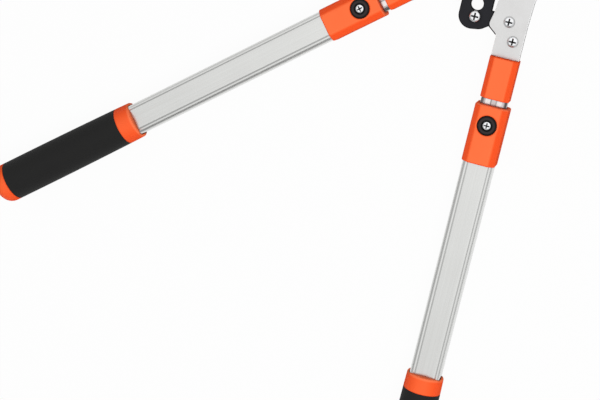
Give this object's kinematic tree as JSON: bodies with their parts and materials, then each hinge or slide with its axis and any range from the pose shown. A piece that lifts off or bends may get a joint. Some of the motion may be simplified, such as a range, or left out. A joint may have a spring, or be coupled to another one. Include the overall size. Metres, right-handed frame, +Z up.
{
  "type": "telescoping anvil lopper",
  "caption": "Long-handled anvil lopper with a notched ratchet plate; the flat-oval handles telescope and lock with a press button in an orange collar.",
  "frame": {"origin": "on the main pivot axis, at the surface the tool lies on, where the pivot bolt's end rests", "axes": "+Z up out of that surface along the pivot bolt, +Y along the left handle towards the jaws, +X towards the right handle"},
  "size_m": [0.5343, 0.7204, 0.0398],
  "materials": {
    "tube_dark": "satin fluted extrusion",
    "tube_bright": "satin anodised extrusion",
    "orange": "moulded satin orange",
    "grip": "matt black grip",
    "button": "moulded black",
    "screw": "bright plated",
    "hardware": "zinc plated",
    "side_plate": "satin steel",
    "coated": "black low-friction coating",
    "anvil": "machined",
    "packing": "black nylon"
  },
  "bodies": {
    "left": {"left_inner_tube": "tube_dark", "left_upper_collar": "orange", "left_tang_block": "packing", "left_guide_bush": "packing", "left_plate_front": "side_plate", "left_plate_rear": "side_plate", "anvil_holder": "coated", "anvil_insert": "anvil", "anvil_rivet_heel": "hardware", "anvil_rivet_tip": "hardware", "pivot_bolt": "screw", "pivot_washer": "hardware", "pivot_nut": "hardware", "pivot_spacer_front": "hardware", "pivot_spacer_rear": "hardware"},
    "left_slider": {"left_lower_collar": "orange", "left_outer_tube": "tube_bright", "left_grip_ring": "orange", "left_grip_sleeve": "grip", "left_end_cap": "orange", "left_button_spring": "hardware"},
    "left_button": {"left_button_cap": "button", "left_button_screw": "screw", "left_plunger_pin": "hardware"},
    "right": {"right_inner_tube": "tube_dark", "right_upper_collar": "orange", "right_tang_block": "packing", "right_guide_bush": "packing", "right_plate_front": "side_plate", "right_plate_rear": "side_plate", "ratchet_plate": "coated", "lug_screw": "screw", "lug_nut": "hardware", "strap_screw": "screw", "strap_nut": "hardware", "ratchet_screw": "screw", "ratchet_nut": "hardware"},
    "right_slider": {"right_lower_collar": "orange", "right_outer_tube": "tube_bright", "right_grip_ring": "orange", "right_grip_sleeve": "grip", "right_end_cap": "orange", "right_button_spring": "hardware"},
    "right_button": {"right_button_cap": "button", "right_button_screw": "screw", "right_plunger_pin": "hardware"},
    "blade": {"blade": "coated"},
    "pawl": {"pawl_link_front": "hardware", "pawl_link_rear": "hardware", "pawl_pin": "hardware", "pawl_roller": "hardware"}
  },
  "joints": [
    {"name": "handle_pivot", "type": "hinge", "parent": "left", "child": "right", "pos_m": [0, 0, 0.0199], "axis": [0, 0, -1], "range_deg": [0, 34]},
    {"name": "blade_pivot", "type": "hinge", "parent": "left", "child": "blade", "pos_m": [0, 0, 0.0199], "axis": [0, 0, -1], "range_deg": [0, 34]},
    {"name": "pawl_pivot", "type": "hinge", "parent": "blade", "child": "pawl", "pos_m": [-0.01705, -0.04061, 0.0199], "axis": [0, 0, 1], "range_deg": [-2.5, 2.5]},
    {"name": "left_telescope", "type": "slide", "parent": "left", "child": "left_slider", "axis": [0, -1, 0], "range_m": [0, 0.33]},
    {"name": "right_telescope", "type": "slide", "parent": "right", "child": "right_slider", "axis": [0.7727, -0.6347, 0], "range_m": [0, 0.33]},
    {"name": "left_lock_button", "type": "slide", "parent": "left_slider", "child": "left_button", "axis": [0, 0, -1], "range_m": [0, 0.003], "stiffness_N_per_m": 900, "springref_m": -0.002, "deforming": ["left_button_spring"]},
    {"name": "right_lock_button", "type": "slide", "parent": "right_slider", "child": "right_button", "axis": [0, 0, -1], "range_m": [0, 0.003], "stiffness_N_per_m": 900, "springref_m": -0.002, "deforming": ["right_button_spring"]}
  ],
  "couplings": [
    {"joint": "blade_pivot", "follows": "handle_pivot", "ratio": 1}
  ]
}
